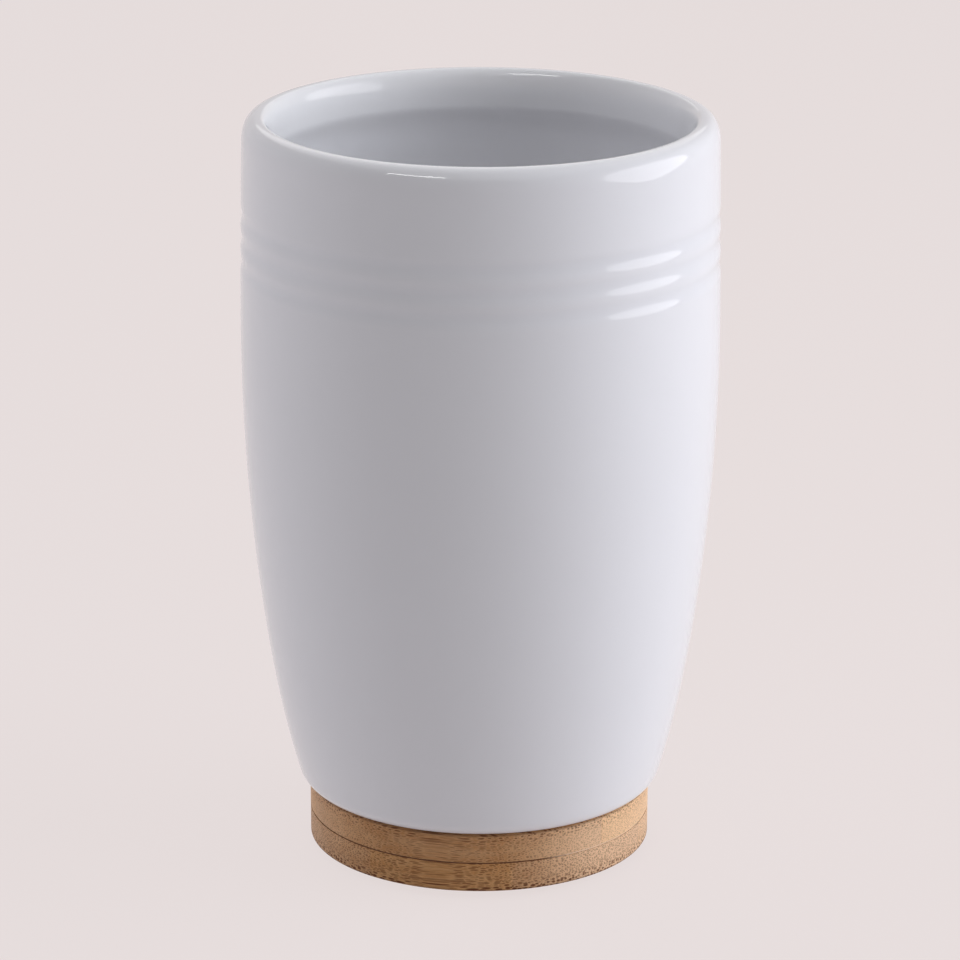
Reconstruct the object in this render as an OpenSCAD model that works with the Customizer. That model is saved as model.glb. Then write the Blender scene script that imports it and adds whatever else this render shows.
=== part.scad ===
// Bathroom tumbler: a glazed ceramic cup bonded to a round laminated bamboo base with foot pads.
// Millimetres. Z is up and the origin is on the table, on the cup's axis, under the foot pads.

/* [Cup] */
// Outside radius at the widest point
cup_r = 35; // [32:0.5:42]
// Height of the ceramic, from its lower edge to the top of the rim
cup_h = 100.9; // [85:0.1:130]
// Height of the widest point above the lower edge
belly_h = 68.9; // [50:0.1:72]
// How much smaller the outside radius is at the rim than at the widest point
mouth_taper = 0.5; // [0:0.05:3]
// Thickness of the wall below the lip
wall_t = 2.8; // [2:0.1:4]
// Height of the inside floor above the lower edge
floor_t = 3.2; // [2:0.1:8]
// Radius of the corner between the inside floor and the wall
inner_corner_r = 7; // [3:0.5:12]
// Width of the rounding that draws the lower edge in to the base
edge_round_w = 1.1; // [0.5:0.1:2]
// Height of the rounding at the lower edge
edge_round_h = 1.9; // [1:0.1:4]

/* [Lip] */
// How far the bead behind the rim stands in from the wall
lip_bead_t = 1.4; // [0.2:0.1:2]
// Depth of the bead, from the top of the rim to where it begins to run out
lip_bead_h = 5.4; // [4.5:0.1:8]
// Height over which the bead runs out into the wall
lip_fade_h = 6.6; // [2:0.1:9]
// Height of the rounding on the outside of the rim
lip_outer_h = 3.8; // [2:0.1:5]
// Height of the rounding on the inside of the rim
lip_inner_h = 4.2; // [2:0.1:4.4]

/* [Grooves] */
// Number of turned grooves in the band below the rim
groove_count = 3; // [1:1:5]
// Distance from one groove to the next
groove_pitch = 3.5; // [2.5:0.1:4.5]
// Depth of a groove below the crests beside it
groove_depth = 0.2; // [0.1:0.05:0.8]
// Distance from the top of the rim down to the start of the band
groove_top = 12.3; // [8:0.1:20]

/* [Foot joint] */
// Width of the cup's flat lower edge, from the side of the base in to the foot
foot_setback = 5.9; // [4.5:0.1:9]
// Height of the foot below the cup's lower edge
spigot_h = 2.4; // [1.5:0.1:2.8]
// Width of the ring that the foot stands on
foot_ring_w = 3; // [2:0.1:5]
// Depth of the hollow inside the foot ring
foot_hollow_h = 1; // [0.5:0.1:1.5]
// Space all round between the foot and its recess
spigot_clearance = 0.35; // [0.2:0.05:0.8]
// Thickness of the adhesive bed under the foot ring
adhesive_t = 0.5; // [0.2:0.05:0.6]
// Open line between the cup's lower edge and the base
shadow_gap = 0.25; // [0.1:0.05:0.4]

/* [Base] */
// How far the side of the base stands in from the cup's widest point
base_setback = 9.6; // [5:0.1:12]
// Thickness of each of the two plies
ply_t = 4.35; // [3.6:0.05:6]
// Thickness of the glue film between the plies
film_t = 0.2; // [0.1:0.05:0.4]
// How far the glue film stays back from the base's side
film_inset = 0.1; // [0.05:0.05:0.4]
// Easing of the base's outer edges
base_ease = 0.3; // [0.1:0.05:0.8]
// Width that is left of the front strip in the upper ply
upper_front_w = 12.4; // [8:0.1:16]
// Width that is left of the front strip in the lower ply
lower_front_w = 2.4; // [2:0.1:6]
// Width that is left of the back strip in the lower ply
lower_back_w = 8.4; // [4:0.1:14]
// Turn of the bamboo's grain about the axis, from left and right, in degrees
grain_turn = -14; // [-45:1:45]

/* [Foot pads] */
// Radius of a foot pad
pad_r = 4; // [3:0.1:5]
// Thickness of a foot pad
pad_t = 1.2; // [0.8:0.1:2]
// Distance from the side of the base in to the middle of a pad
pad_setback = 8.4; // [6.5:0.1:12]

/* [Hidden] */
$fn = 96;

// Shares of the belly's curve. Below the widest point the radius falls with the square of the
// distance, and the tuck adds a quick turn inwards just above the lower edge.
tuck_share = 0.11;
waist_power = 2;
tuck_power = 8;
mouth_power = 1.5;
// The bead runs out steeply at its top and flattens downwards
bead_power = 2;
// The rim's outside is fuller than an ellipse, whose power would be 2
lip_power = 2.7;
// Share of the lip's width that lies outside the highest line of the rim
crest_share = 0.64;
// Share of the upper ply's two wider strips that the middle one takes
upper_middle_share = 0.52;

// How many straight steps a rounding, the rim's outside, a groove and a stretch of wall are drawn with
arc_steps = 8;
lip_steps = 16;
groove_steps = 12;
wall_steps = 24;
overrun = 1;

// Heights of the pieces above the table
lower_z = pad_t;
film_z = lower_z + ply_t;
upper_z = film_z + film_t;
base_top_z = upper_z + ply_t;
cup_z = base_top_z + shadow_gap;
recess_z = cup_z - spigot_h - adhesive_t;

// Radii and widths that follow from the sizes above
base_r = cup_r - base_setback;
spigot_r = base_r - foot_setback;
pad_ring_r = base_r - pad_setback;
waist_drop = base_setback - edge_round_w;
lip_w = wall_t + lip_bead_t;
crest_out_w = lip_w * crest_share;
crest_in_w = lip_w - crest_out_w;
groove_band_h = groove_count * groove_pitch;
groove_low_h = cup_h - groove_top - groove_band_h;
groove_high_h = cup_h - groove_top;
bead_low_h = cup_h - lip_bead_h - lip_fade_h;
film_r = base_r - film_inset;
hollow_r = spigot_r - foot_ring_w;

// Lines across the grain where one strip meets the next, from front to back. The base was cut from
// a wider board, so its edge strips are narrow, and the strips between them share the rest.
side_y = base_r + overrun;
upper_front_y = upper_front_w - base_r;
upper_middle_w = (base_r - upper_front_y) * upper_middle_share;
lower_middle_y = (lower_front_w - lower_back_w) / 2;
upper_joints = [-side_y, upper_front_y, upper_front_y + upper_middle_w, side_y];
lower_joints = [-side_y, lower_front_w - base_r, lower_middle_y, base_r - lower_back_w, side_y];

strip_tones = [[0.74, 0.55, 0.38], [0.78, 0.60, 0.41], [0.72, 0.53, 0.36], [0.76, 0.57, 0.40]];

// Outside radius of the plain cup at a height above its lower edge, with no grooves or roundings
function belly_r(h) =
    h < belly_h
    ? let (s = (belly_h - h) / belly_h)
      cup_r - waist_drop * ((1 - tuck_share) * pow(s, waist_power) + tuck_share * pow(s, tuck_power))
    : let (s = (h - belly_h) / (cup_h - belly_h))
      cup_r - mouth_taper * pow(s, mouth_power);

// How far the grooves cut in at a height: three even waves whose crests lie on the plain cup
function groove_cut(h) =
    h <= groove_low_h || h >= groove_high_h
    ? 0
    : groove_depth * (1 - cos(360 * (h - groove_low_h) / groove_pitch)) / 2;

// Share of the bead behind the rim that stands at a height, from none on the wall to all at the lip
function bead_share(h) =
    let (s = min(1, max(0, (h - bead_low_h) / lip_fade_h)))
    (1 - cos(180 * pow(s, bead_power))) / 2;

// Share of the way round the rim's outside, across or up, for the sine or cosine of an angle
function lip_share(ratio) = pow(ratio, 2 / lip_power);

// Inside radius of the cup at a height, with no roundings
function inside_r(h) = belly_r(h) - wall_t - lip_bead_t * bead_share(h);

// Even steps from one height to another
function steps(low, high, count) = [for (i = [0:count]) low + (high - low) * i / count];

// Outside of the cup from its lower edge up to the rounding of the rim
outside_heights = concat(
    steps(edge_round_h, groove_low_h, wall_steps),
    steps(groove_low_h, groove_high_h, groove_steps * groove_count),
    steps(groove_high_h, cup_h - lip_outer_h, arc_steps)
);

// Inside of the cup from below the rounding of the rim down to the corner of the floor
inside_heights = concat(
    steps(cup_h - lip_inner_h, cup_h - lip_bead_h, 2),
    steps(cup_h - lip_bead_h, bead_low_h, arc_steps),
    steps(bead_low_h, floor_t + inner_corner_r, wall_steps)
);

// Section of the ceramic, to the right of the axis, with the lower edge at height zero
cup_section = concat(
    [
        [0, foot_hollow_h - spigot_h],
        [hollow_r, foot_hollow_h - spigot_h],
        [hollow_r, -spigot_h],
        [spigot_r, -spigot_h],
        [spigot_r, 0]
    ],
    [
        for (a = steps(0, 90, arc_steps))
            let (h = edge_round_h * (1 - cos(a)))
            [belly_r(h) - edge_round_w * (1 - sin(a)), h]
    ],
    [for (h = outside_heights) [belly_r(h) - groove_cut(h), h]],
    [
        for (a = steps(0, 90, lip_steps))
            let (h = cup_h - lip_outer_h * (1 - lip_share(sin(a))))
            [belly_r(h) - crest_out_w * (1 - lip_share(cos(a))), h]
    ],
    [
        for (a = steps(90, 0, arc_steps))
            let (h = cup_h - lip_inner_h * (1 - sin(a)))
            [inside_r(h) + crest_in_w * (1 - cos(a)), h]
    ],
    [for (h = inside_heights) [inside_r(h), h]],
    [
        for (a = steps(0, 90, arc_steps))
            let (h = floor_t + inner_corner_r * (1 - sin(a)))
            [inside_r(h) - inner_corner_r * (1 - cos(a)), h]
    ],
    [[0, floor_t]]
);

// Section of a foot pad, flat above and below, with a rounded side
pad_section = concat(
    [[0, 0]],
    [for (a = steps(0, 90, arc_steps)) [pad_r - pad_t * (1 - sin(a)), pad_t * (1 - cos(a))]],
    [[0, pad_t]]
);

// The cup: one shell with a foot below it, all one casting
module ceramic_cup() {
    color([0.92, 0.92, 0.94])
        translate([0, 0, cup_z])
            rotate_extrude()
                polygon(cup_section);
}

// The bed of adhesive that holds the foot ring to the floor of the recess
module foot_adhesive() {
    color([0.86, 0.82, 0.70])
        translate([0, 0, recess_z])
            difference() {
                cylinder(h = adhesive_t, r = spigot_r);
                translate([0, 0, -overrun])
                    cylinder(h = adhesive_t + 2 * overrun, r = hollow_r);
            }
}

// A round ply with its edge eased on one side: the top, or the bottom when it is turned over
module ply_disc(turned_over = false) {
    eased = [
        [0, 0],
        [base_r, 0],
        [base_r, ply_t - base_ease],
        [base_r - base_ease, ply_t],
        [0, ply_t]
    ];
    flip = turned_over ? 1 : 0;
    translate([0, 0, flip * ply_t])
        mirror([0, 0, flip])
            rotate_extrude()
                polygon(eased);
}

// The part of a ply between two lines that run along the grain
module between_joints(front_y, back_y) {
    rotate([0, 0, grain_turn])
        translate([-side_y, front_y, 0])
            cube([2 * side_y, back_y - front_y, ply_t]);
}

// A bamboo strip of the upper ply, with its share of the recess for the foot
module upper_strip(number) {
    color(strip_tones[number])
        difference() {
            translate([0, 0, upper_z])
                intersection() {
                    ply_disc();
                    between_joints(upper_joints[number - 1], upper_joints[number]);
                }
            translate([0, 0, recess_z])
                cylinder(h = cup_z - recess_z, r = spigot_r + spigot_clearance);
        }
}

// The glue film that joins the two plies
module ply_glue_film() {
    color([0.40, 0.27, 0.17])
        translate([0, 0, film_z])
            cylinder(h = film_t, r = film_r);
}

// A bamboo strip of the lower ply
module lower_strip(number) {
    color(strip_tones[number - 1])
        translate([0, 0, lower_z])
            intersection() {
                ply_disc(turned_over = true);
                between_joints(lower_joints[number - 1], lower_joints[number]);
            }
}

// A clear foot pad, midway between the directions along and across the grain
module foot_pad(number) {
    color([0.82, 0.86, 0.88])
        rotate([0, 0, grain_turn + 90 * number - 45])
            translate([pad_ring_r, 0, 0])
                rotate_extrude()
                    polygon(pad_section);
}

ceramic_cup();
foot_adhesive();
upper_strip(1);  // upper_strip_1
upper_strip(2);  // upper_strip_2
upper_strip(3);  // upper_strip_3
ply_glue_film();
lower_strip(1);  // lower_strip_1
lower_strip(2);  // lower_strip_2
lower_strip(3);  // lower_strip_3
lower_strip(4);  // lower_strip_4
foot_pad(1);  // foot_pad_1
foot_pad(2);  // foot_pad_2
foot_pad(3);  // foot_pad_3
foot_pad(4);  // foot_pad_4
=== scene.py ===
"""A white glazed ceramic tumbler on a laminated bamboo base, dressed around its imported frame.

Metres, Z up, with the origin on the floor under the foot pads. The cup is turned about the Z axis.
"""

import logging
import math
from collections.abc import Callable, Sequence
from dataclasses import dataclass, field
from enum import Enum
from functools import cache
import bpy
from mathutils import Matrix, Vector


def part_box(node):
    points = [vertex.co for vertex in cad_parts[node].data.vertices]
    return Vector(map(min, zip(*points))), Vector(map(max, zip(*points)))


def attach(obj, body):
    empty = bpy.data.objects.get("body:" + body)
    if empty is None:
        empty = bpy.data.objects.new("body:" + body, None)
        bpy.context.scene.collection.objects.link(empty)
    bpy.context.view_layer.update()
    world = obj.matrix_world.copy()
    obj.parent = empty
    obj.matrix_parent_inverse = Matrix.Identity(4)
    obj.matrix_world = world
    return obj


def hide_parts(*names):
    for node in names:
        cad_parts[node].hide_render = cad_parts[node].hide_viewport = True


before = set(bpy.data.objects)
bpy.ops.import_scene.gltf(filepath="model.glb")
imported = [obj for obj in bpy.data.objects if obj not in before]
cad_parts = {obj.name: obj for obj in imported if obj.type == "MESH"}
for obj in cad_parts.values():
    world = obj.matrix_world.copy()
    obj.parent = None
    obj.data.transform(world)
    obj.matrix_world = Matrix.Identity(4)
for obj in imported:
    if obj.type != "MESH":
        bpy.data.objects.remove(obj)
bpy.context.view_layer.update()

from types import SimpleNamespace
from typing import Any

import bmesh
import bpy
from bpy.types import Material, Mesh, Node, NodeSocket, NodeTree, Object
from mathutils import Euler, Matrix, Vector

log = logging.getLogger("tumbler")

MM = 0.001
BODY = "root"
SAME_PLACE = 0.001 * MM
QUARTER_TURN = math.pi / 2
GRAIN_TURN = math.radians(-14.0)

Color = tuple[float, float, float]
Point = tuple[float, float, float]


class Slot(Enum):
    """The record's material slots."""

    GLAZE = "white_glaze"
    BAMBOO = "bamboo"
    GLUE = "glue_film"
    ADHESIVE = "adhesive"
    SILICONE = "clear_silicone"


class Ply(Enum):
    """The two layers of the base."""

    UPPER = "upper"
    LOWER = "lower"


class Outline(Enum):
    """The outline of a lamp, as an area light names it."""

    RECTANGLE = "RECTANGLE"
    ELLIPSE = "ELLIPSE"


class Number:
    """A number that nodes work out, so that a formula in a tree reads as plain arithmetic."""

    def __init__(self, graph: "Graph", socket: NodeSocket) -> None:
        """Keeps the tree and the socket that carries the number."""
        self.graph = graph
        self.socket = socket

    def __add__(self, other: "Feed") -> "Number":
        """The sum."""
        return self.graph.math("ADD", self, other)

    def __sub__(self, other: "Feed") -> "Number":
        """The difference."""
        return self.graph.math("SUBTRACT", self, other)

    def __rsub__(self, other: "Feed") -> "Number":
        """The difference from another number."""
        return self.graph.math("SUBTRACT", other, self)

    def __mul__(self, other: "Feed") -> "Number":
        """The product."""
        return self.graph.math("MULTIPLY", self, other)

    def __truediv__(self, other: "Feed") -> "Number":
        """The quotient."""
        return self.graph.math("DIVIDE", self, other)

    def __rtruediv__(self, other: "Feed") -> "Number":
        """The quotient of another number and this one."""
        return self.graph.math("DIVIDE", other, self)

    def __pow__(self, other: "Feed") -> "Number":
        """The power."""
        return self.graph.math("POWER", self, other)

    __radd__ = __add__
    __rmul__ = __mul__


Feed = Number | NodeSocket | float | Sequence[float] | str
Inputs = dict[str | int, Feed]
Place = tuple[Number, Number]


class Graph:
    """A node tree that is being built."""

    MIX_FIRST, MIX_SECOND, MIX_RESULT = 6, 7, 2

    def __init__(self, tree: NodeTree) -> None:
        """Starts from a tree, which may hold nodes already."""
        self.tree = tree

    @classmethod
    def group(cls, name: str, kind: str) -> "Graph":
        """Makes a node group with an input and an output node.

        Args:
            name: Name of the group.
            kind: GeometryNodeTree or ShaderNodeTree.

        Returns:
            The graph of the new group.
        """
        graph = cls(bpy.data.node_groups.new(name, kind))
        graph.entry = graph.add("NodeGroupInput")
        graph.exit = graph.add("NodeGroupOutput")
        return graph

    def takes(self, name: str, default: Any = None, kind: str = "Float") -> Number:
        """Adds a named input to the group.

        Args:
            name: Name of the input.
            default: Value when nothing else is set.
            kind: Kind of socket, such as Float, Int or Vector.

        Returns:
            The input's value inside the group.
        """
        item = self.tree.interface.new_socket(name, in_out="INPUT", socket_type="NodeSocket" + kind)
        if default is not None:
            item.default_value = default
        return Number(self, self.entry.outputs[name])

    def gives(self, name: str, value: Feed, kind: str = "Float") -> None:
        """Adds a named output to the group and feeds it."""
        self.tree.interface.new_socket(name, in_out="OUTPUT", socket_type="NodeSocket" + kind)
        self.feed(self.exit.inputs[name], value)

    def feed(self, socket: NodeSocket, value: Feed) -> None:
        """Links a value to an input socket, or sets it there, where a plain colour becomes opaque.

        Args:
            socket: Input socket.
            value: A number or socket of this tree, or a plain value.
        """
        if isinstance(value, Number):
            value = value.socket
        if isinstance(value, NodeSocket):
            self.tree.links.new(value, socket)
        elif socket.type == "RGBA":
            socket.default_value = (*value, 1.0)
        else:
            socket.default_value = value

    def feed_all(self, node: Node, inputs: Inputs) -> None:
        """Feeds a node's inputs, by name or place."""
        for key, value in inputs.items():
            self.feed(node.inputs[key], value)

    def add(self, kind: str, inputs: Inputs | None = None, **settings: Any) -> Node:
        """Adds a node.

        Args:
            kind: Type name of the node.
            inputs: What feeds its inputs, by name or place.
            settings: Values of the node's own properties.

        Returns:
            The node.
        """
        node = self.tree.nodes.new(kind)
        for name, value in settings.items():
            setattr(node, name, value)
        self.feed_all(node, inputs or {})
        return node

    def through(self, kind: str, geometry: Feed, inputs: Inputs | None = None, **settings: Any) -> NodeSocket:
        """Passes a geometry through a node, whose first input and output carry it."""
        return self.add(kind, {0: geometry} | (inputs or {}), **settings).outputs[0]

    def call(self, group: NodeTree, inputs: Inputs) -> dict[str, Number]:
        """Places a shader group and gives its outputs by name."""
        node = self.add("ShaderNodeGroup", inputs, node_tree=group)
        return {output.name: Number(self, output) for output in node.outputs}

    def math(self, operation: str, *values: Feed) -> Number:
        """The result of a Math node."""
        node = self.add("ShaderNodeMath", dict(enumerate(values)), operation=operation)
        return Number(self, node.outputs[0])

    def vector_math(self, operation: str, *values: Feed) -> NodeSocket:
        """The resulting vector of a Vector Math node."""
        node = self.add("ShaderNodeVectorMath", dict(enumerate(values)), operation=operation)
        return node.outputs["Vector"]

    def scaled(self, color: Feed, factor: Feed) -> NodeSocket:
        """A colour made lighter or darker by a factor."""
        node = self.add("ShaderNodeVectorMath", {0: color, "Scale": factor}, operation="SCALE")
        return node.outputs["Vector"]

    def clamped(self, value: Feed) -> Number:
        """A value that is held between 0 and 1."""
        return self.math("MINIMUM", self.math("MAXIMUM", value, 0.0), 1.0)

    def swell(self, angle: Feed) -> Number:
        """A smooth wave, 0 at an angle of 0 and 1 at half a turn."""
        return 0.5 - self.math("COSINE", angle) * 0.5

    def quarter(self, share: Feed) -> Place:
        """1 less the cosine and 1 less the sine of a share of a quarter turn."""
        angle = share * QUARTER_TURN
        return 1.0 - self.math("COSINE", angle), 1.0 - self.math("SINE", angle)

    def ramp(self, value: Feed, low: Feed, high: Feed, first: Feed = 0.0, last: Feed = 1.0) -> Number:
        """Turns a value smoothly from one number into another.

        Args:
            value: What the result follows.
            low: Value where the turn starts.
            high: Value where it ends.
            first: Result below the start.
            last: Result above the end.

        Returns:
            The result.
        """
        inputs = {"Value": value, "From Min": low, "From Max": high, "To Min": first, "To Max": last}
        node = self.add("ShaderNodeMapRange", inputs, interpolation_type="SMOOTHSTEP")
        return Number(self, node.outputs["Result"])

    def fall(self, value: Feed, low: Feed, high: Feed, top: Feed = 1.0) -> Number:
        """Falls smoothly from a number to 0, while a value goes from low to high."""
        return self.ramp(value, low, high, top, 0.0)

    def mix(self, share: Feed, first: Feed, second: Feed, blend: str = "MIX") -> NodeSocket:
        """Mixes two colours.

        Args:
            share: Share of the second colour.
            first: First colour.
            second: Second colour.
            blend: How the second colour is laid on the first.

        Returns:
            The mixed colour.
        """
        inputs = {"Factor": share, self.MIX_FIRST: first, self.MIX_SECOND: second}
        node = self.add("ShaderNodeMix", inputs, data_type="RGBA", blend_type=blend)
        return node.outputs[self.MIX_RESULT]

    def noise(self, place: Feed, scale: Feed, detail: float = 2.0, roughness: float = 0.5) -> Number:
        """Even noise from 0 to 1, in waves per metre, with octaves of finer noise."""
        inputs = {"Vector": place, "Scale": scale, "Detail": detail, "Roughness": roughness}
        return Number(self, self.add("ShaderNodeTexNoise", inputs).outputs[0])

    def cells(self, place: Feed, scale: Feed, randomness: float = 1.0, space: str = "3D") -> Place:
        """Adds a pattern of scattered cells.

        Args:
            place: Where it is read.
            scale: Cells per metre.
            randomness: How far the cells stray from an even grid.
            space: 3D, or 2D for rods along Z.

        Returns:
            Distance from the nearest cell's centre, in cells, and that cell's own number from 0 to 1.
        """
        inputs = {"Vector": place, "Scale": scale, "Randomness": randomness}
        node = self.add("ShaderNodeTexVoronoi", inputs, voronoi_dimensions=space)
        return Number(self, node.outputs["Distance"]), self.split(node.outputs["Color"])[0]

    def split(self, vector: Feed) -> tuple[Number, Number, Number]:
        """Takes a vector apart into its three numbers."""
        node = self.add("ShaderNodeSeparateXYZ", {0: vector})
        return tuple(Number(self, output) for output in node.outputs)

    def join(self, x: Feed, y: Feed, z: Feed) -> NodeSocket:
        """Puts three numbers together into a vector."""
        return self.add("ShaderNodeCombineXYZ", {0: x, 1: y, 2: z}).outputs[0]


class ShaderGroups:
    """The surface effects that several finishes share, each built once."""

    @staticmethod
    @cache
    def surface() -> NodeTree:
        """Slow changes of tone, a fine texture and sparse pinholes, which every finish has.

        Returns:
            The group. Tone is about 1, and Height and Pinhole are from 0 to 1.
        """
        g = Graph.group("surface_variation", "ShaderNodeTree")
        place = g.takes("Vector", kind="Vector")
        cloud = g.noise(place, g.takes("Cloud scale", 60.0), detail=3.0)
        depth = g.takes("Cloud depth", 0.03)
        fine = g.noise(place, g.takes("Texture scale", 900.0), detail=4.0, roughness=0.6)
        distance, pick = g.cells(place, g.takes("Pinhole scale", 140.0))
        holes = g.fall(distance, 0.0, g.takes("Pinhole size", 0.02))
        chosen = g.ramp(pick, low=0.55, high=0.6)
        g.gives("Tone", 1.0 + (cloud - 0.5) * 2.0 * depth)
        g.gives("Height", fine)
        g.gives("Pinhole", holes * chosen)
        return g.tree

    @staticmethod
    @cache
    def bundles() -> NodeTree:
        """One layer of bamboo fibre bundles: long rods, which show as dots where the surface cuts across.

        Returns:
            The group. Core is 1 in a bundle, and Rim is 1 in the paler sheath round it.
        """
        g = Graph.group("fibre_bundles", "ShaderNodeTree")
        _, across, up = g.split(g.takes("Vector", kind="Vector"))
        seed = g.takes("Seed", 0.0)
        spacing = g.takes("Spacing", 0.6 * MM)
        share = g.takes("Core share", 0.25)
        section = g.join(across + seed, up + seed * 0.37, 0.0)
        distance, pick = g.cells(section, 1.0 / spacing, randomness=0.8, space="2D")
        size = share * (0.6 + pick * 0.8)
        core = g.fall(distance, low=size * 0.6, high=size * 1.15)
        rim = g.fall(distance, low=size * 1.1, high=size * 2.1)
        g.gives("Core", core)
        g.gives("Rim", g.math("MAXIMUM", rim - core, 0.0))
        return g.tree


class Finish:
    """What every finish shares: a material with one Principled shader, and a faint relief."""

    relief_h = 0.02 * MM

    def start(self, name: str) -> tuple[Material, Graph, Node, NodeSocket]:
        """Makes the material.

        Args:
            name: Name of the material.

        Returns:
            The material, its graph, its Principled shader and the object's own coordinates in metres.
        """
        material = bpy.data.materials.new(name)
        material.use_nodes = True
        g = Graph(material.node_tree)
        shader = next(n for n in material.node_tree.nodes if n.type == "BSDF_PRINCIPLED")
        return material, g, shader, g.add("ShaderNodeTexCoord").outputs["Object"]

    def normal(self, g: Graph) -> NodeSocket:
        """Where the surface faces, in the object's own coordinates."""
        return g.add("ShaderNodeTexCoord").outputs["Normal"]

    def bump(self, g: Graph, height: Feed) -> NodeSocket:
        """The bent normal of a height, which is a share of the relief."""
        inputs = {"Height": height, "Distance": self.relief_h, "Strength": 1.0}
        return g.add("ShaderNodeBump", inputs).outputs["Normal"]


@dataclass(frozen=True)
class GlazeFinish(Finish):
    """Glossy cool white glaze: darker where it pools, whitened inside by painted light that is strongest near
    the lip, and bare clay under the foot.
    """

    color: Color = (0.9, 0.9, 0.935)
    pooled: Color = (0.88, 0.885, 0.925)
    # Painted light: a whiter colour laid on the inner walls, fully near the lip and by a smaller share lower
    # down.
    poured: Color = (0.965, 0.965, 0.985)
    clay: Color = (0.80, 0.76, 0.69)
    inside_light_reach: float = 20.0 * MM
    inside_light_low: float = 100.5 * MM
    inside_light_high: float = 105.0 * MM
    inside_light_share: float = 0.35
    clay_top: float = 10.5 * MM
    clay_fade: float = 0.1 * MM
    roughness: float = 0.03
    haze: float = 0.03
    hole_roughness: float = 0.2
    clay_roughness: float = 0.7
    ripple_scale: float = 160.0
    ripple: float = 0.7
    hole_depth: float = 0.6
    grit: float = 0.02
    ior: float = 1.52

    def material(self) -> Material:
        """Builds the material."""
        material, g, shader, place = self.start("white_glaze")
        inputs = {"Vector": place, "Cloud depth": 0.012, "Cloud scale": 45.0, "Pinhole size": 0.03}
        surface = g.call(ShaderGroups.surface(), inputs)
        height, hole = surface["Height"], surface["Pinhole"]
        x, y, z = g.split(place)
        across, along, _ = g.split(self.normal(g))
        # Painted light: inner walls are whitened, fully near the lip and by a smaller share lower down.
        inside_light_by_height = g.ramp(z, self.inside_light_low, self.inside_light_high, self.inside_light_share)
        inside_light_mix = g.fall(x * across + y * along, -self.inside_light_reach, 0.0, inside_light_by_height)
        pool = g.add("ShaderNodeAttribute", attribute_name=CeramicCup.POOL).outputs["Fac"]
        glaze = g.mix(inside_light_mix, g.mix(pool, self.color, self.pooled), self.poured)
        bare = g.fall(z, self.clay_top - self.clay_fade, self.clay_top)
        wear = self.roughness + height * self.haze + hole * self.hole_roughness
        waves = g.noise(place, self.ripple_scale, detail=1.0) * self.ripple - hole * self.hole_depth
        g.feed_all(shader, {
            "Base Color": g.mix(bare, g.scaled(glaze, surface["Tone"]), self.clay),
            "Roughness": g.math("MAXIMUM", wear, bare * self.clay_roughness),
            "Normal": self.bump(g, waves + height * (self.grit + bare)),
            "IOR": self.ior,
        })
        return material


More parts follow.
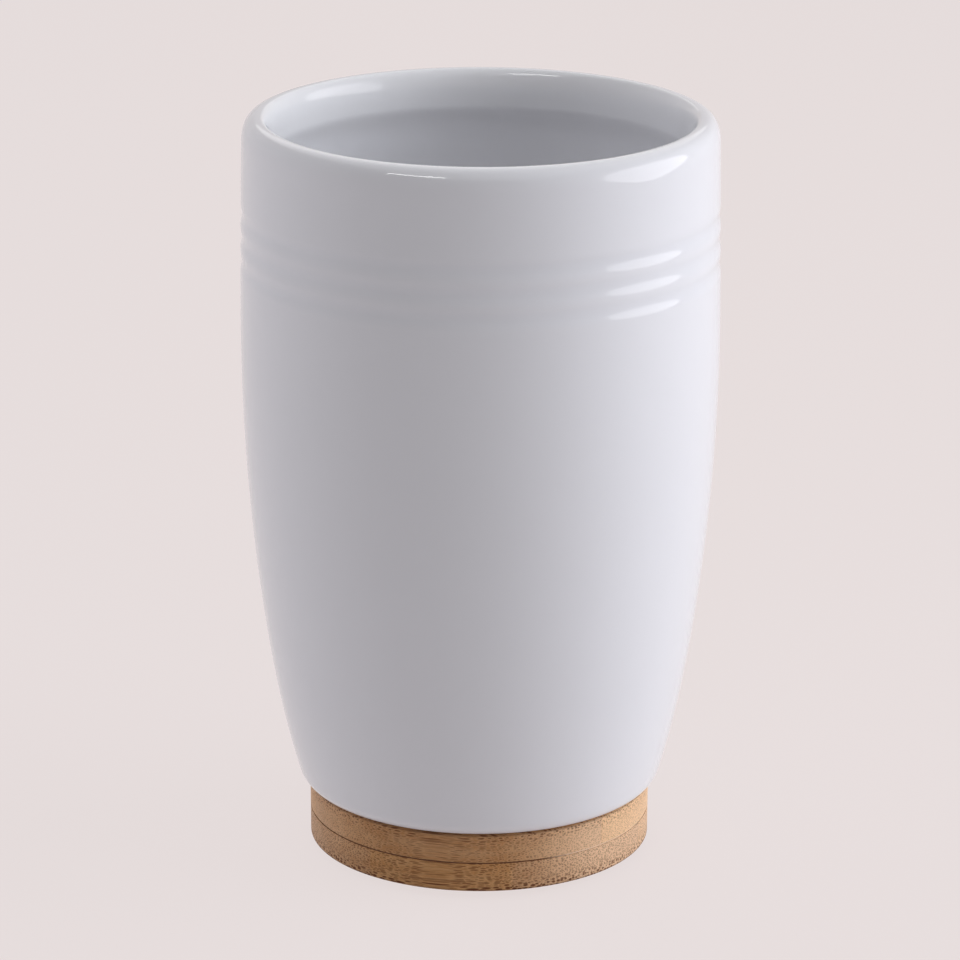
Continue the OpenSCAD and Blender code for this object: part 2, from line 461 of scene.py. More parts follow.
@dataclass(frozen=True)
class BambooFinish(Finish):
    """Carbonised bamboo under a thin satin lacquer. Dots show on end grain and streaks along it. The ends
    facing +X carry a painted sheen, and the skin's edges a painted shade.
    """

    name: str
    seed: float
    tone: float
    yellow: float
    dense_z: float
    sparse_z: float
    core_share: float
    core_depth: float
    turn: float = GRAIN_TURN
    ground: Color = (0.555, 0.268, 0.104)
    pale: Color = (0.8, 0.5, 0.27)
    # Pale end grain, with a painted sheen from the key light on the ends that face +X.
    end: Color = (0.97, 0.65, 0.41)
    core: Color = (0.14, 0.04, 0.014)
    # Painted shade at the skin's edge: the contact shadow under the base and the shadow under the cup.
    scorched: Color = (0.16, 0.075, 0.04)
    yellow_tint: Color = (0.04, 0.02, -0.1)
    end_and_sheen_from: float = 0.35
    end_and_sheen_full: float = 0.9
    far_end_and_sheen_share: float = 0.4
    edge_shade_h: float = 0.5 * MM
    edge_shade_share: float = 0.75
    upright_from: float = 0.4
    upright_to: float = 0.9
    wander: float = 0.6 * MM
    wander_scale: float = 160.0
    large_spacing: float = 0.47 * MM
    small_spacing: float = 0.3 * MM
    small_seed: float = 3.0
    small_core: float = 0.55
    small_core_loss: float = 0.2
    small_rim: float = 0.7
    rim_share: float = 0.4
    strand_stretch: float = 0.09
    strand_scale: float = 6500.0
    streak_scale: float = 600.0
    streak_share: float = 0.35
    darkest: float = 0.58
    fibre_tone: float = 0.84
    roughness: float = 0.4
    fibre_roughness: float = 0.12
    core_roughness: float = 0.15
    fibre_relief: float = 0.35
    rim_relief: float = 0.2
    core_relief: float = 0.8
    specular: float = 0.18

    def turned(self, g: Graph, vector: Feed) -> NodeSocket:
        """A vector turned so that the grain runs along X."""
        return g.add("ShaderNodeVectorRotate", {"Vector": vector, "Angle": -self.turn}).outputs[0]

    def end_and_sheen_share(self, g: Graph) -> Number:
        """Share of pale end grain and painted sheen: the ends facing +X, towards the key light, get all of
        it, and the far ends less.
        """
        facing = g.split(self.turned(g, self.normal(g)))[0]
        far = g.fall(facing, -self.end_and_sheen_full, -self.end_and_sheen_from, self.far_end_and_sheen_share)
        return g.ramp(facing, self.end_and_sheen_from, self.end_and_sheen_full) + far

    def fibres(self, g: Graph, along: Feed, dense: Number) -> tuple[Number, Number]:
        """Lays small bundles everywhere, and large ones where the fibres are dense. All wander a little.

        Args:
            g: Graph of the material.
            along: The place with the grain along X.
            dense: How dense the fibres are, from 0 to 1.

        Returns:
            Shares of the bundles' dark cores and of the paler sheaths round them.
        """
        waves = g.add("ShaderNodeTexNoise", {"Vector": along, "Scale": self.wander_scale})
        shift = g.vector_math("SUBTRACT", waves.outputs["Color"], (0.5, 0.5, 0.5))
        bent = g.vector_math("ADD", along, g.vector_math("MULTIPLY", shift, (0.0, self.wander, self.wander)))
        inputs = {"Vector": bent, "Seed": self.seed, "Core share": self.core_share}
        large = g.call(ShaderGroups.bundles(), inputs | {"Spacing": self.large_spacing})
        inputs |= {"Seed": self.seed + self.small_seed, "Spacing": self.small_spacing}
        small = g.call(ShaderGroups.bundles(), inputs)
        small_core = small["Core"] * (self.small_core - dense * self.small_core_loss)
        core = g.math("MAXIMUM", large["Core"] * dense, small_core)
        return core, g.math("MAXIMUM", large["Rim"] * dense, small["Rim"] * self.small_rim)

    def scorch(self, g: Graph, z: Number) -> Number:
        """Share of the painted shade at the skin's edge, which stands in for the contact shadow under the
        base and the shadow under the cup, and which only upright faces have.
        """
        band = g.fall(g.math("ABSOLUTE", z - self.dense_z), 0.0, self.edge_shade_h, self.edge_shade_share)
        level = g.math("ABSOLUTE", g.split(self.normal(g))[2])
        return band * g.fall(level, self.upright_from, self.upright_to)

    def material(self) -> Material:
        """Builds the material."""
        material, g, shader, place = self.start(self.name)
        along = self.turned(g, place)
        z = g.split(place)[2]
        core, rim = self.fibres(g, along, g.fall(z, self.dense_z, self.sparse_z))
        strands = g.vector_math("MULTIPLY", along, (self.strand_stretch, 1.0, 1.0))
        fibre = g.noise(strands, self.strand_scale, detail=3.0, roughness=0.7)
        streak = g.ramp(g.noise(strands, self.streak_scale), low=0.3, high=0.7, last=self.streak_share)
        surface = g.call(ShaderGroups.surface(), {"Vector": along, "Cloud scale": 90.0, "Cloud depth": 0.07})
        body = g.mix(streak, self.ground, self.pale)
        for share, color in (
            # Pale end grain with a painted sheen on the +X ends.
            (self.end_and_sheen_share(g), self.end),
            (rim * self.rim_share, self.pale),
            (core * self.core_depth, self.core),
            # Painted shade along the skin's edge.
            (self.scorch(g, z), self.scorched),
        ):
            body = g.mix(share, body, color)
        lit = g.scaled(body, surface["Tone"] * (self.darkest + fibre * self.fibre_tone) * self.tone)
        tint = tuple(1.0 + change * self.yellow for change in self.yellow_tint)
        relief = fibre * self.fibre_relief + rim * self.rim_relief - core * self.core_relief
        g.feed_all(shader, {
            "Base Color": g.mix(1.0, lit, tint, "MULTIPLY"),
            "Roughness": self.roughness + fibre * self.fibre_roughness + core * self.core_roughness,
            "Normal": self.bump(g, relief),
            "Specular IOR Level": self.specular,
        })
        return material


@dataclass(frozen=True)
class GlueFinish(Finish):
    """Dark pressed glue line, with a painted highlight that turns it pale towards +X, where the key light
    catches it.
    """

    dark: Color = (0.12, 0.045, 0.015)
    # Painted highlight colour, laid on the +X end of the line.
    pale: Color = (0.95, 0.72, 0.52)
    highlight_from: float = 9.0 * MM
    highlight_to: float = 14.0 * MM

    def material(self) -> Material:
        """Builds the material."""
        material, g, shader, place = self.start("glue_film")
        surface = g.call(ShaderGroups.surface(), {"Vector": place, "Cloud scale": 300.0, "Cloud depth": 0.2})
        # Painted highlight: the line turns pale towards +X, where the key light catches it.
        share = g.ramp(g.split(place)[0], self.highlight_from, self.highlight_to)
        g.feed_all(shader, {
            "Base Color": g.scaled(g.mix(share, self.dark, self.pale), surface["Tone"]),
            "Roughness": 0.5 + surface["Height"] * 0.25,
            "Normal": self.bump(g, surface["Height"]),
        })
        return material


@dataclass(frozen=True)
class AdhesiveFinish(Finish):
    """Cured off-white adhesive with small bubbles."""

    color: Color = (0.78, 0.74, 0.62)
    relief_h: float = 0.05 * MM

    def material(self) -> Material:
        """Builds the material."""
        material, g, shader, place = self.start("adhesive")
        inputs = {"Vector": place, "Cloud depth": 0.08, "Pinhole scale": 900.0, "Pinhole size": 0.3}
        surface = g.call(ShaderGroups.surface(), inputs)
        g.feed_all(shader, {
            "Base Color": g.scaled(self.color, surface["Tone"]),
            "Roughness": 0.55 + surface["Height"] * 0.2,
            "Normal": self.bump(g, surface["Height"] * 0.4 - surface["Pinhole"]),
        })
        return material


@dataclass(frozen=True)
class SiliconeFinish(Finish):
    """Clear soft silicone, faintly cloudy, with dust on its skin."""

    color: Color = (0.88, 0.92, 0.94)
    dusty: Color = (0.70, 0.70, 0.68)
    most_dust: float = 0.5
    relief_h: float = 0.01 * MM
    ior: float = 1.41
    clearness: float = 0.8

    def material(self) -> Material:
        """Builds the material."""
        material, g, shader, place = self.start("clear_silicone")
        surface = g.call(ShaderGroups.surface(), {"Vector": place, "Cloud scale": 400.0})
        dust = g.ramp(surface["Height"], low=0.5, high=0.75, last=self.most_dust)
        g.feed_all(shader, {
            "Base Color": g.mix(dust, self.color, self.dusty),
            "Roughness": 0.2 + dust * 0.5,
            "Normal": self.bump(g, surface["Height"]),
            "IOR": self.ior,
            "Transmission Weight": self.clearness,
        })
        return material


def report(piece: Object) -> None:
    """Logs a finished piece's name, triangles and height above the floor."""
    piece.data.calc_loop_triangles()
    heights = [corner[2] / MM for corner in piece.bound_box]
    size = len(piece.data.loop_triangles)
    log.info("%s: %d triangles, %.2f to %.2f mm high", piece.name, size, min(heights), max(heights))


def add_piece(name: str, mesh: Mesh, slot: Slot, *nodes: str) -> None:
    """Makes a finished piece that rides on the body and stands for its nodes.

    Args:
        name: Name of the piece.
        mesh: Its mesh, in place.
        slot: The record's slot for its finish; not used.
        nodes: The nodes that it replaces.
    """
    mesh.name = name
    piece = bpy.data.objects.new(name, mesh)
    bpy.context.scene.collection.objects.link(piece)
    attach(piece, BODY)
    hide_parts(*nodes)
    report(piece)


def dress_node(name: str, slot: Slot, material: Material) -> None:
    """Gives a node of the frame its finish and leaves its shape alone.

    Args:
        name: Name of the node.
        slot: The record's slot for its finish; not used.
        material: The finish.
    """
    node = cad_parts[name]
    node.data.materials.clear()
    node.data.materials.append(material)
    report(node)


def box_size(name: str) -> tuple[float, float, float]:
    """A round node's radius, and its lowest and highest point."""
    low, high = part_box(name)
    return (high.x - low.x) / 2, low.z, high.z


def between(share: Number, low: Feed, high: Feed) -> Number:
    """A number that goes from low to high as a share goes from 0 to 1."""
    return share * (high - low) + low


class TurnedTree:
    """A Geometry Nodes tree that turns a section about the Z axis.

    The section is a row of stretches. Each is a row of points placed by a formula of a share from 0 to 1,
    and starts where the one before it ends.
    """

    HARD_ANGLE = math.radians(40)

    def __init__(self, name: str, material: Material, around: int) -> None:
        """Starts the tree.

        Args:
            name: Name of the tree.
            material: Finish of the turned piece.
            around: Steps round the axis.
        """
        self.g = Graph.group(name, "GeometryNodeTree")
        self.material = material
        self.values: dict[str, float] = {}
        self.stretches: list[NodeSocket] = []
        self.around = self.count("Steps around", around)

    def count(self, name: str, value: int) -> Number:
        """Adds a named whole number and gives it inside the tree."""
        self.values[name] = value
        return self.g.takes(name, kind="Int")

    def sizes(self, **values: float) -> SimpleNamespace:
        """Adds sizes named after their keywords.

        Args:
            values: The sizes, in metres where they are lengths.

        Returns:
            The sizes inside the tree, under the same names.
        """
        names = {key: key.replace("_", " ").capitalize() for key in values}
        self.values |= {names[key]: value for key, value in values.items()}
        return SimpleNamespace(**{key: self.g.takes(names[key]) for key in values})

    def stretch(self, points: int, path: Callable[[Number], Place]) -> None:
        """Adds a stretch to the section.

        Args:
            points: How many points it has.
            path: Gives radius and height for a share of the stretch.
        """
        g = self.g
        share = Number(g, g.add("GeometryNodeInputIndex").outputs[0]) / (points - 1)
        radius, height = path(share)
        row = g.add("GeometryNodeMeshLine", {"Count": points}).outputs[0]
        place = g.join(radius, 0.0 - height, 0.0)
        self.stretches.append(g.through("GeometryNodeSetPosition", row, {"Position": place}))

    def straight(self, start: Place, end: Place, points: int = 2) -> None:
        """Adds a straight stretch between two places, each a radius and a height."""
        self.stretch(points, lambda share: tuple(between(share, a, b) for a, b in zip(start, end)))

    def turned(self) -> NodeSocket:
        """Joins the stretches and turns them about the axis.

        Returns:
            The closed surface, with its hard edges marked sharp.
        """
        g = self.g
        joined = g.add("GeometryNodeJoinGeometry")
        for part in reversed(self.stretches):
            g.feed(joined.inputs[0], part)
        merge = {"Distance": SAME_PLACE}
        row = g.through("GeometryNodeMergeByDistance", joined.outputs[0], merge)
        section = g.through("GeometryNodeMeshToCurve", row)
        pin = {"Resolution": self.around, "Radius": SAME_PLACE / 10}
        circle = g.add("GeometryNodeCurvePrimitiveCircle", pin).outputs[0]
        swept = g.through("GeometryNodeCurveToMesh", circle, {"Profile Curve": section})
        closed = g.through("GeometryNodeMergeByDistance", swept, merge)
        smooth = g.through("GeometryNodeSetShadeSmooth", closed, {"Shade Smooth": True})
        angle = g.add("GeometryNodeInputMeshEdgeAngle").outputs["Unsigned Angle"]
        hard = {"Selection": g.math("GREATER_THAN", angle, self.HARD_ANGLE), "Shade Smooth": False}
        return g.through("GeometryNodeSetShadeSmooth", smooth, hard, domain="EDGE")

    def finish(self, surface: NodeSocket) -> Mesh:
        """Ends the tree, runs it once and returns what it makes.

        Args:
            surface: The last geometry of the tree.

        Returns:
            A plain mesh with its faces pointing outwards.
        """
        g = self.g
        real = g.through("GeometryNodeRealizeInstances", surface)
        dressed = g.through("GeometryNodeSetMaterial", real, {"Material": self.material})
        g.gives("Geometry", dressed, "Geometry")
        empty = bpy.data.meshes.new(g.tree.name)
        maker = bpy.data.objects.new(g.tree.name, empty)
        bpy.context.scene.collection.objects.link(maker)
        modifier = maker.modifiers.new(g.tree.name, "NODES")
        modifier.node_group = g.tree
        for item in g.tree.interface.items_tree:
            if item.in_out == "INPUT":
                modifier[item.identifier] = self.values[item.name]
        ready = maker.evaluated_get(bpy.context.evaluated_depsgraph_get())
        mesh = bpy.data.meshes.new_from_object(ready)
        maker.modifiers.clear()
        bpy.data.objects.remove(maker)
        bpy.data.meshes.remove(empty)
        face_outwards(mesh)
        return mesh


def face_outwards(mesh: Mesh) -> None:
    """Turns a closed mesh's faces outwards."""
    work = bmesh.new()
    work.from_mesh(mesh)
    bmesh.ops.recalc_face_normals(work, faces=work.faces)
    work.to_mesh(mesh)
    work.free()


@dataclass
class CeramicCup:
    """The glazed cup: a turned shell with a band of grooves, a beaded lip and a foot that the base hides."""

    POOL = "glaze_pool"

    node: str = "ceramic_cup"
    spigot_h: float = 2.4 * MM
    spigot_r: float = 19.5 * MM
    foot_ring_w: float = 3.0 * MM
    foot_hollow_h: float = 1.0 * MM
    belly_h: float = 68.9 * MM
    waist_drop: float = 8.5 * MM
    waist_power: float = 2.0
    tuck_share: float = 0.11
    tuck_power: float = 8.0
    mouth_taper: float = 0.5 * MM
    taper_power: float = 1.5
    wall_t: float = 2.8 * MM
    floor_t: float = 3.2 * MM
    inner_corner_r: float = 7.0 * MM
    edge_round_w: float = 1.1 * MM
    edge_round_h: float = 1.9 * MM
    lip_bead_t: float = 1.4 * MM
    lip_bead_h: float = 5.4 * MM
    lip_fade_h: float = 6.6 * MM
    lip_outer_h: float = 3.8 * MM
    lip_inner_h: float = 4.2 * MM
    lip_power: float = 2.7
    lip_crowding: float = 1.25
    crest_share: float = 0.64
    groove_count: int = 3
    groove_pitch: float = 3.5 * MM
    groove_depth: float = 0.2 * MM
    groove_top: float = 12.3 * MM
    groove_reach: float = 1.5
    waviness: float = 0.05 * MM
    wave_scale: float = 28.0
    around: int = 240

    def mesh(self, material: Material) -> Mesh:
        """Turns the cup.

        Args:
            material: The glaze.

        Returns:
            The cup's mesh, in place.
        """
        cup_r, foot_z, top_z = box_size(self.node)
        tree = TurnedTree("turned_cup", material, self.around)
        g = tree.g
        v = tree.sizes(
            cup_r=cup_r,
            cup_h=top_z - foot_z - self.spigot_h,
            lower_edge_z=foot_z + self.spigot_h,
            grooves=float(self.groove_count),
            **{name: value for name, value in vars(self).items() if isinstance(value, float)},
        )
        bead_top = v.cup_h - v.lip_bead_h
        bead_low = bead_top - v.lip_fade_h
        groove_high = v.cup_h - v.groove_top
        groove_low = groove_high - v.grooves * v.groove_pitch
        lip_t = v.wall_t + v.lip_bead_t
        fullness = 2.0 / v.lip_power

        def belly(h: Number) -> Number:
            """Outside radius of the plain cup at a height above its lower edge."""
            low = g.math("MAXIMUM", (v.belly_h - h) / v.belly_h, 0.0)
            high = g.math("MAXIMUM", (h - v.belly_h) / (v.cup_h - v.belly_h), 0.0)
            waist = (1.0 - v.tuck_share) * low ** v.waist_power + v.tuck_share * low ** v.tuck_power
            return v.cup_r - v.waist_drop * waist - v.mouth_taper * high ** v.taper_power

        def grooved(h: Number) -> Number:
            """Outside radius in the band of grooves."""
            return belly(h) - v.groove_depth * g.swell((h - groove_low) / v.groove_pitch * math.tau)

        def inside(h: Number) -> Number:
            """Inside radius at a height, with the bead behind the lip, which flattens downwards."""
            share = g.clamped((h - bead_low) / (bead_top - bead_low))
            return belly(h) - v.wall_t - v.lip_bead_t * g.swell(share ** 2.0 * math.pi)

        def wall(low: Number, high: Number, side: Callable[[Number], Number]) -> Callable[[Number], Place]:
            """A path along one side of the wall from one height to another."""
            return lambda share: (side(between(share, low, high)), between(share, low, high))

        def lower_edge(share: Number) -> Place:
            """The rounding from the flat lower edge up into the wall."""
            rise, gap = g.quarter(share)
            return belly(v.edge_round_h * rise) - v.edge_round_w * gap, v.edge_round_h * rise

        def lip_outside(share: Number) -> Place:
            """The full rounding from the outside of the wall up to the crest of the lip."""
            angle = share ** v.lip_crowding * QUARTER_TURN
            h = v.cup_h - v.lip_outer_h * (1.0 - g.math("SINE", angle) ** fullness)
            across = g.math("MAXIMUM", g.math("COSINE", angle), 0.0) ** fullness
            return belly(h) - lip_t * v.crest_share * (1.0 - across), h

        def lip_inside(share: Number) -> Place:
            """The rounding from the crest of the lip down to the inside."""
            drop, gap = g.quarter(share)
            h = v.cup_h - v.lip_inner_h * drop
            return inside(h) + lip_t * (1.0 - v.crest_share) * gap, h

        def floor_corner(share: Number) -> Place:
            """The rounding from the inside of the wall to the floor."""
            gap, rise = g.quarter(share)
            h = v.floor_t + v.inner_corner_r * rise
            return inside(h) - v.inner_corner_r * gap, h

        none = v.spigot_h * 0.0
        foot_low = v.spigot_h * -1.0
        hollow_z = v.foot_hollow_h - v.spigot_h
        hollow_r = v.spigot_r - v.foot_ring_w
        edge_r = belly(none) - v.edge_round_w
        floor_r = inside(v.floor_t) - v.inner_corner_r
        tree.straight((none, hollow_z), (hollow_r, hollow_z), points=8)
        tree.straight((hollow_r, hollow_z), (hollow_r, foot_low))
        tree.straight((hollow_r, foot_low), (v.spigot_r, foot_low))
        tree.straight((v.spigot_r, foot_low), (v.spigot_r, none))
        tree.straight((v.spigot_r, none), (edge_r, none), points=4)
        # The points and path of each stretch: up the outside, over the lip and down the inside.
        for points, path in (
            (13, lower_edge),
            (48, wall(v.edge_round_h, groove_low, belly)),
            (24 * self.groove_count + 1, wall(groove_low, groove_high, grooved)),
            (12, wall(groove_high, v.cup_h - v.lip_outer_h, belly)),
            (33, lip_outside),
            (25, lip_inside),
            (3, wall(v.cup_h - v.lip_inner_h, bead_top, inside)),
            (25, wall(bead_top, bead_low, inside)),
            (40, wall(bead_low, v.floor_t + v.inner_corner_r, inside)),
            (17, floor_corner),
        ):
            tree.stretch(points, path)
        tree.straight((floor_r, v.floor_t), (none, v.floor_t), points=12)

        lift = {"Offset": g.join(0.0, 0.0, v.lower_edge_z)}
        lifted = g.through("GeometryNodeSetPosition", tree.turned(), lift)
        place = g.add("GeometryNodeInputPosition").outputs[0]
        x, y, z = g.split(place)
        soft = g.clamped(g.noise(place, v.wave_scale, detail=1.0))
        shrink = 1.0 - v.waviness * soft / v.cup_r
        wavy = g.through("GeometryNodeSetPosition", lifted, {"Position": g.join(x * shrink, y * shrink, z)})
        h = z - v.lower_edge_z
        reach = g.math("SQRT", x * x + y * y)
        pool = g.clamped((belly(h) - reach) / v.groove_depth)
        band = g.math("GREATER_THAN", h, groove_low) * g.math("LESS_THAN", h, groove_high)
        outer = g.math("GREATER_THAN", reach, belly(h) - v.groove_depth * v.groove_reach)
        stored = {"Name": self.POOL, "Value": pool * band * outer}
        kind = {"data_type": "FLOAT", "domain": "POINT"}
        return tree.finish(g.through("GeometryNodeStoreNamedAttribute", wavy, stored, **kind))

    def build(self, finish: GlazeFinish) -> None:
        """Builds the cup and dresses it."""
        add_piece("glazed_cup", self.mesh(finish.material()), Slot.GLAZE, self.node)


@dataclass(frozen=True)
class PlyLook:
    """How the strips of one ply lie and look, from front to back."""

    joints: tuple[float, ...]
    tones: tuple[float, ...]
    yellows: tuple[float, ...]
    core_share: float
    core_depth: float
    first_seed: float = 0.0


@dataclass
class BambooBase:
    """The base: two plies of bamboo strips glued edge to edge, and the glue film between them."""

    turn: float = GRAIN_TURN
    edge_r: float = 0.3 * MM
    line_r: float = 0.05 * MM
    joint_r: float = 0.03 * MM
    recess_clearance: float = 0.35 * MM
    hard_angle: float = math.radians(30)
    seed_step: float = 0.37
    sparse_share: float = 0.7
    around: int = 288
    arc_steps: int = 5
    film: str = "ply_glue_film"
    looks: dict[Ply, PlyLook] = field(default_factory=lambda: {
        Ply.UPPER: PlyLook(
            joints=(-13.0 * MM, 6.97 * MM),
            tones=(0.92, 0.97, 0.9),
            yellows=(0.0, 0.5, 0.1),
            core_share=0.28,
            core_depth=0.78,
            first_seed=1.9,
        ),
        Ply.LOWER: PlyLook(
            joints=(-23.0 * MM, -3.0 * MM, 17.0 * MM),
            tones=(0.92, 0.9, 0.92, 0.88),
            yellows=(0.8, -0.1, 0.2, 0.4),
            core_share=0.34,
            core_depth=1.0,
        ),
    })

    def section(self, ply: Ply) -> list[tuple[float, float]]:
        """The section of a ply, from the axis at its top round to the axis at its bottom.

        Args:
            ply: Which ply.

        Returns:
            Points of radius and height.
        """
        boxes = [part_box(name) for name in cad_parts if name.startswith(ply.value + "_strip_")]
        low = min(b[0].z for b in boxes)
        high = max(b[1].z for b in boxes)
        radius = max(b[1].x for b in boxes)
        if ply is Ply.UPPER:
            top_r, bottom_r = self.edge_r, self.line_r
            foot_r, recess_z, _ = box_size("foot_adhesive")
            recess_r = foot_r + self.recess_clearance
            points = [(0.0, recess_z), (recess_r / 2, recess_z), (recess_r, recess_z)]
            points += [(recess_r, high - self.line_r), (recess_r + self.line_r, high)]
        else:
            top_r, bottom_r = self.line_r, self.edge_r
            points = [(0.0, high), (radius / 2, high)]
        angles = [QUARTER_TURN * step / self.arc_steps for step in range(self.arc_steps + 1)]
        arc = [(1 - math.cos(angle), 1 - math.sin(angle)) for angle in angles]
        points += [(radius - top_r * gap, high - top_r * drop) for gap, drop in reversed(arc)]
        points += [(radius - bottom_r * gap, low + bottom_r * rise) for gap, rise in arc]
        return points + [(radius / 2, low), (0.0, low)]

    def disc(self, ply: Ply) -> bmesh.types.BMesh:
        """Turns a whole ply.

        Args:
            ply: Which ply.

        Returns:
            The closed disc.
        """
        work = bmesh.new()
        verts = [work.verts.new((r, 0.0, z)) for r, z in self.section(ply)]
        edges = [work.edges.new(pair) for pair in zip(verts, verts[1:])]
        bmesh.ops.spin(
            work,
            geom=verts + edges,
            axis=(0.0, 0.0, 1.0),
            cent=(0.0, 0.0, 0.0),
            steps=self.around,
            angle=math.tau,
            use_merge=True,
        )
        bmesh.ops.remove_doubles(work, verts=work.verts, dist=SAME_PLACE)
        bmesh.ops.recalc_face_normals(work, faces=work.faces)
        return work

    def cut(self, work: bmesh.types.BMesh, place: float, side: float) -> None:
        """Cuts a disc along a joint, closes it and breaks the new edges.

        Args:
            work: The disc.
            place: Where the joint lies across the grain.
            side: -1 takes away what is in front of the joint, and 1 what is behind it.
        """
        across = Matrix.Rotation(self.turn, 3, "Z") @ Vector((0.0, 1.0, 0.0))
        bmesh.ops.bisect_plane(
            work,
            geom=[*work.verts, *work.edges, *work.faces],
            plane_co=across * place,
            plane_no=across * side,
            clear_outer=True,
            dist=SAME_PLACE / 10,
        )
        rim = [e for e in work.edges if e.is_boundary]
        faces = bmesh.ops.edgenet_fill(work, edges=rim)["faces"]
        bmesh.ops.recalc_face_normals(work, faces=work.faces)
        bmesh.ops.bevel(
            work,
            geom=[e for f in faces for e in f.edges],
            offset=self.joint_r,
            segments=2,
            profile=0.5,
            affect="EDGES",
            clamp_overlap=True,
        )

    def strip(self, ply: Ply, front: float | None, back: float | None) -> Mesh:
        """Cuts one strip out of a ply.

        Args:
            ply: Which ply.
            front: Where the joint in front of the strip lies across the grain, or None at the front edge.
            back: Where the joint behind it lies, or None at the back edge.

        Returns:
            The strip's mesh, in place.
        """
        work = self.disc(ply)
        for place, side in ((front, -1.0), (back, 1.0)):
            if place is not None:
                self.cut(work, place, side)
        mesh = bpy.data.meshes.new("strip")
        for face in work.faces:
            face.smooth = True
        for edge in work.edges:
            edge.smooth = edge.is_manifold and edge.calc_face_angle(0.0) < self.hard_angle
        work.to_mesh(mesh)
        work.free()
        return mesh

    def finish_of(self, ply: Ply, number: int) -> BambooFinish:
        """The finish of one strip.

        Args:
            ply: Which ply.
            number: Number of the strip, from front to back.

        Returns:
            The finish.
        """
        look = self.looks[ply]
        low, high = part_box(f"{ply.value}_strip_{number}")
        skin, pith = (high.z, low.z) if ply is Ply.UPPER else (low.z, high.z)
        return BambooFinish(
            name=f"bamboo_{ply.value}_{number}",
            seed=look.first_seed + number * self.seed_step,
            tone=look.tones[number - 1],
            yellow=look.yellows[number - 1],
            dense_z=skin,
            sparse_z=skin + (pith - skin) * self.sparse_share,
            core_share=look.core_share,
            core_depth=look.core_depth,
            turn=self.turn,
        )

    def build(self, glue: GlueFinish) -> None:
        """Builds every strip and dresses them and the glue film."""
        for ply, look in self.looks.items():
            places = [None, *look.joints, None]
            for number, (front, back) in enumerate(zip(places, places[1:]), 1):
                mesh = self.strip(ply, front, back)
                mesh.materials.append(self.finish_of(ply, number).material())
                add_piece(f"bamboo_{ply.value}_{number}", mesh, Slot.BAMBOO, f"{ply.value}_strip_{number}")
        dress_node(self.film, Slot.GLUE, glue.material())


@dataclass
class FootPads:
    """Clear pads under the base, which stand in a ring midway between the grain's directions."""

    count: int = 4
    ring_turn: float = GRAIN_TURN + QUARTER_TURN / 2
    ring_r: float = 17.0 * MM
    around: int = 64

    def mesh(self, material: Material) -> Mesh:
        """Turns one pad and sets copies of it round the ring.

        Args:
            material: The silicone.

        Returns:
            The mesh of all the pads, in place.
        """
        pad_r, _, pad_t = box_size("foot_pad_1")
        tree = TurnedTree("foot_pads", material, self.around)
        g = tree.g
        v = tree.sizes(pad_r=pad_r, pad_t=pad_t, ring_r=self.ring_r, ring_turn=self.ring_turn)
        none = v.pad_t * 0.0

        def side(share: Number) -> Place:
            """The rounded side, from the flat bottom up to the base."""
            rise, gap = g.quarter(share)
            return v.pad_r - v.pad_t * gap, v.pad_t * rise

        tree.straight((none, none), (v.pad_r - v.pad_t, none), points=4)
        tree.stretch(17, side)
        tree.straight((v.pad_r, v.pad_t), (none, v.pad_t), points=4)
        ring = {"Vertices": tree.count("Pads", self.count), "Radius": v.ring_r}
        circle = g.add("GeometryNodeMeshCircle", ring).outputs[0]
        places = g.through("GeometryNodeTransform", circle, {"Rotation": g.join(0.0, 0.0, v.ring_turn)})
        return tree.finish(g.through("GeometryNodeInstanceOnPoints", places, {"Instance": tree.turned()}))

    def build(self, finish: SiliconeFinish) -> None:
        """Builds the pads and dresses them."""
        nodes = [f"foot_pad_{number + 1}" for number in range(self.count)]
        add_piece("foot_pads", self.mesh(finish.material()), Slot.SILICONE, *nodes)


@dataclass(frozen=True)
class Softbox:
    """A plain flat lamp that faces a point."""

    name: str
    centre: Point
    aim: Point
    width: float
    height: float
    radiance: float
    color: Color = (1.0, 1.0, 1.0)
    outline: Outline = Outline.RECTANGLE
    in_gloss: bool = False
    in_matt: bool = True

    def build(self) -> None:
        """Makes the lamp. It doesn't show itself, and lights gloss and matt surfaces where it is meant to."""
        lamp = bpy.data.lights.new(self.name, "AREA")
        lamp.shape = self.outline.value
        lamp.size = self.width
        lamp.size_y = self.height
        area = self.width * self.height * (math.pi / 4 if self.outline is Outline.ELLIPSE else 1.0)
        lamp.energy = self.radiance * math.pi * area
        lamp.color = self.color
        box = bpy.data.objects.new(self.name, lamp)
        box.location = self.centre
        box.rotation_euler = (Vector(self.centre) - Vector(self.aim)).to_track_quat("Z", "Y").to_euler()
        box.visible_camera = False
        box.visible_glossy = self.in_gloss
        box.visible_diffuse = self.in_matt
        bpy.context.scene.collection.objects.link(box)


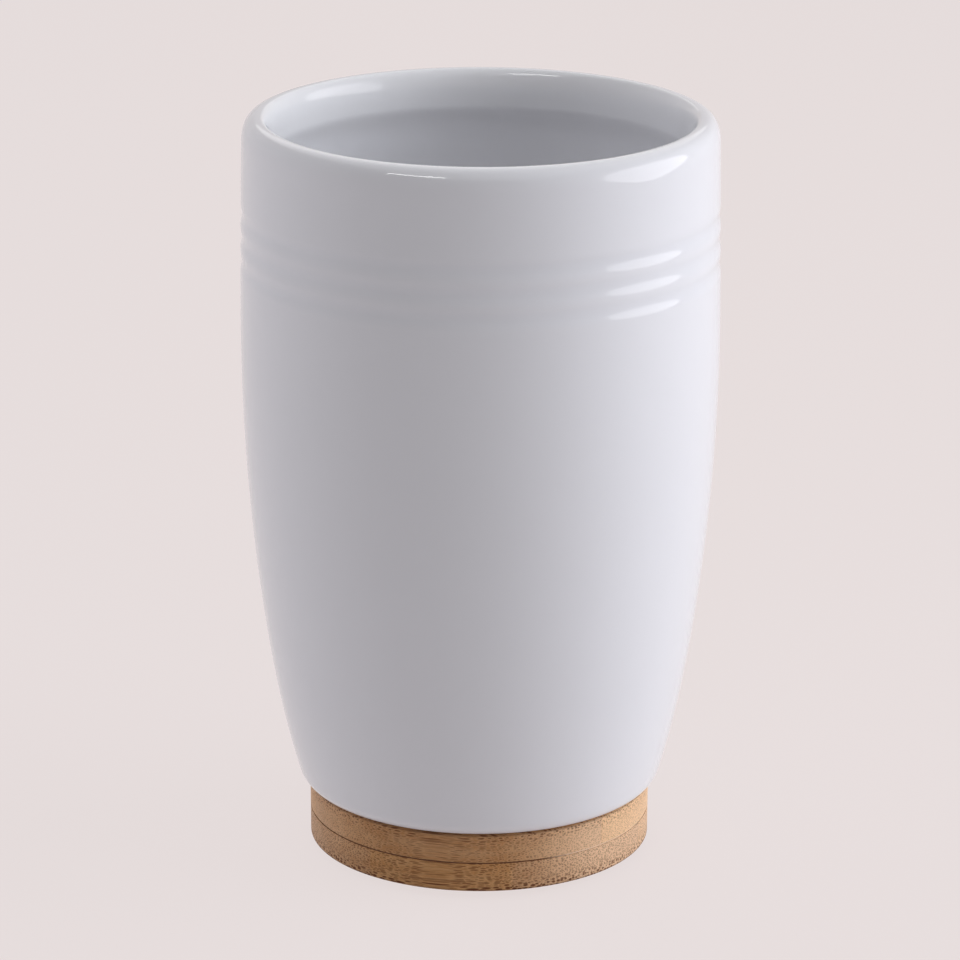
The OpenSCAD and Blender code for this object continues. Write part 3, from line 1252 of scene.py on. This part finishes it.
@dataclass
class Studio:
    """The camera, the floor and the lights, which aren't part of the object."""

    lens: float = 166.873
    sensor: float = 36.0
    eye: Point = (-0.0053 * MM, -625.94 * MM, 254.85 * MM)
    down: float = math.radians(17.61)
    roll: float = math.radians(0.154)
    floor_half: float = 4.0
    backdrop: Color = (0.791, 0.723, 0.716)
    backdrop_share: float = 0.88
    backdrop_glow: float = 1.055
    bounce: Color = (0.70, 0.72, 0.75)
    bounce_share: float = 0.3
    ambient: Color = (0.75, 0.75, 1.0)
    ambient_strength: float = 0.012
    boxes: tuple[Softbox, ...] = (
        Softbox(
            "key_dish", centre=(0.5, -0.055, 0.195), aim=(0.0, -0.055, 0.195), width=0.53, height=0.35,
            radiance=2.2, color=(0.96, 0.96, 1.0), outline=Outline.ELLIPSE, in_gloss=True,
        ),
        Softbox(
            "side_softbox", centre=(1.0, -0.03, 0.62), aim=(0.0, 0.0, 0.62), width=1.2, height=1.0,
            radiance=1.85, color=(0.91, 0.945, 1.0),
        ),
        Softbox(
            "fill_softbox", centre=(-1.0, 0.22, 0.5), aim=(0.0, 0.0, 0.5), width=1.2, height=1.0,
            radiance=1.3, color=(0.955, 0.95, 1.0),
        ),
        Softbox(
            "overhead_panel", centre=(0.0, 0.75, 0.8), aim=(0.0, 0.75, 0.0), width=1.0, height=3.5,
            radiance=0.62, in_gloss=True,
        ),
        Softbox(
            "rim_light", centre=(-0.29, -0.40, 0.60), aim=(0.0, 0.0, 0.11), width=0.30, height=0.07,
            radiance=8.0, in_gloss=True, in_matt=False,
        ),
    )

    def camera(self) -> None:
        """Places the camera at the photograph's viewpoint."""
        data = bpy.data.cameras.new("camera")
        data.lens = self.lens
        data.sensor_width = self.sensor
        data.clip_start = 0.05
        data.clip_end = 50.0
        camera = bpy.data.objects.new("camera", data)
        tilt = Euler((QUARTER_TURN - self.down, 0.0, 0.0)).to_matrix()
        spin = Matrix.Rotation(self.roll, 3, "Z")
        camera.rotation_euler = (tilt @ spin).to_euler()
        camera.location = self.eye
        bpy.context.scene.collection.objects.link(camera)
        bpy.context.scene.camera = camera

    def seen(self, g: Graph) -> Number:
        """1 for what the camera sees, directly or in gloss and glass, and otherwise 0."""
        rays = g.add("ShaderNodeLightPath").outputs
        direct = g.math("MAXIMUM", rays["Is Camera Ray"], rays["Is Glossy Ray"])
        return g.math("MAXIMUM", direct, rays["Is Transmission Ray"])

    def floor(self) -> None:
        """Lays the floor, which is see-through from below."""
        half = self.floor_half
        corners = [(-half, -half, 0), (half, -half, 0), (half, half, 0), (-half, half, 0)]
        mesh = bpy.data.meshes.new("floor")
        mesh.from_pydata(corners, [], [(0, 1, 2, 3)])
        floor = bpy.data.objects.new("floor", mesh)
        bpy.context.scene.collection.objects.link(floor)
        material = bpy.data.materials.new("floor")
        material.use_nodes = True
        g = Graph(material.node_tree)
        material.node_tree.nodes.clear()
        matt = g.add("ShaderNodeBsdfDiffuse", {"Color": self.backdrop}).outputs[0]
        seen = self.seen(g)
        color = g.mix(seen, self.bounce, self.backdrop)
        glow = g.add("ShaderNodeEmission", {"Color": color, "Strength": self.backdrop_glow}).outputs[0]
        share = seen * (self.backdrop_share - self.bounce_share) + self.bounce_share
        top = g.add("ShaderNodeMixShader", {0: share, 1: matt, 2: glow}).outputs[0]
        clear = g.add("ShaderNodeBsdfTransparent").outputs[0]
        below = g.add("ShaderNodeNewGeometry").outputs["Backfacing"]
        both = g.add("ShaderNodeMixShader", {0: below, 1: top, 2: clear}).outputs[0]
        g.add("ShaderNodeOutputMaterial", {"Surface": both})
        mesh.materials.append(material)

    def world(self) -> None:
        """Sets the light from all round, and what shows past the floor."""
        world = bpy.data.worlds.new("studio")
        bpy.context.scene.world = world
        world.use_nodes = True
        g = Graph(world.node_tree)
        world.node_tree.nodes.clear()
        light = g.add("ShaderNodeBackground", {"Color": self.ambient, "Strength": self.ambient_strength})
        back = g.add("ShaderNodeBackground", {"Color": self.backdrop, "Strength": 1.0})
        mixed = g.add("ShaderNodeMixShader", {0: self.seen(g), 1: light.outputs[0], 2: back.outputs[0]})
        g.add("ShaderNodeOutputWorld", {"Surface": mixed.outputs[0]})

    def build(self) -> None:
        """Sets up the whole studio."""
        bpy.context.scene.view_settings.view_transform = "Standard"
        self.camera()
        self.floor()
        self.world()
        for box in self.boxes:
            box.build()


def main() -> None:
    """Builds the studio and every part of the tumbler."""
    logging.basicConfig(level=logging.INFO, format="%(name)s: %(message)s")
    Studio().build()
    CeramicCup().build(GlazeFinish())
    dress_node("foot_adhesive", Slot.ADHESIVE, AdhesiveFinish().material())
    BambooBase().build(GlueFinish())
    FootPads().build(SiliconeFinish())


if __name__ == "__main__":
    main()
